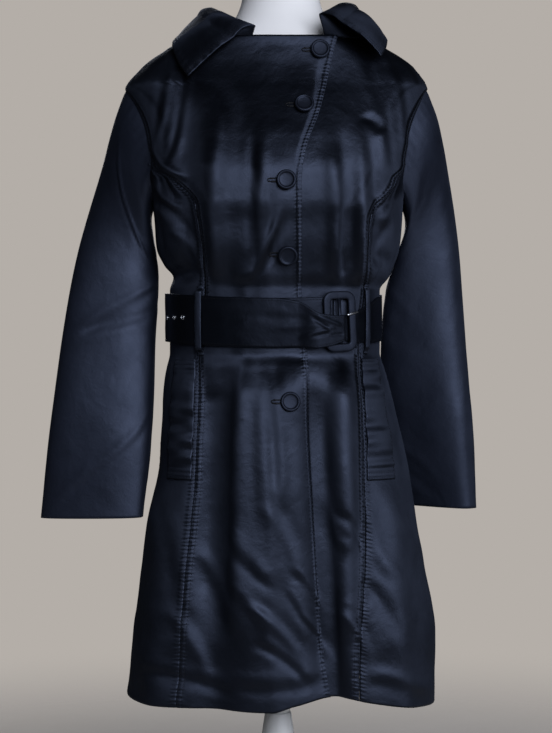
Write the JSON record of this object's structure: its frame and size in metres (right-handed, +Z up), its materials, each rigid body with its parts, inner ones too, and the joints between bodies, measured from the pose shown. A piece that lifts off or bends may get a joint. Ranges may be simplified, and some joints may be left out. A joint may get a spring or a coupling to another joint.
{
  "type": "trench coat on dress form",
  "caption": "Belted knee-length coat of dark sateen with a slanting lapped front, large collar and set-in sleeves, worn by a limbless dress form on a round foot",
  "frame": {"origin": "middle of the round foot's underside, on the floor", "axes": "+Z up, the coat's front toward -Y, the wearer's left toward +X"},
  "size_m": [0.6119, 0.3609, 1.4415],
  "materials": {
    "sateen": "black cotton sateen with a soft blue-grey sheen",
    "covered_fittings": "cloth-covered buttons and buckle, matt",
    "bright_metal": "plated metal, bright",
    "form_cover": "smooth matt white",
    "stand_paint": "smooth white, low gloss"
  },
  "bodies": {
    "root": {"front_right": "sateen", "front_left": "sateen", "side_front_right": "sateen", "side_front_left": "sateen", "back": "sateen", "sleeve_right": "sateen", "sleeve_left": "sateen", "collar": "sateen", "belt": "sateen", "belt_loop_right": "sateen", "belt_loop_left": "sateen", "pocket_welt_right": "sateen", "pocket_welt_left": "sateen", "buckle_frame": "covered_fittings", "button_1": "covered_fittings", "button_2": "covered_fittings", "button_3": "covered_fittings", "button_4": "covered_fittings", "button_5": "covered_fittings", "buckle_prong": "bright_metal", "eyelet_1": "bright_metal", "eyelet_2": "bright_metal", "eyelet_3": "bright_metal", "dress_form": "form_cover", "stand_pole": "stand_paint", "stand_foot": "stand_paint"}
  },
  "joints": []
}
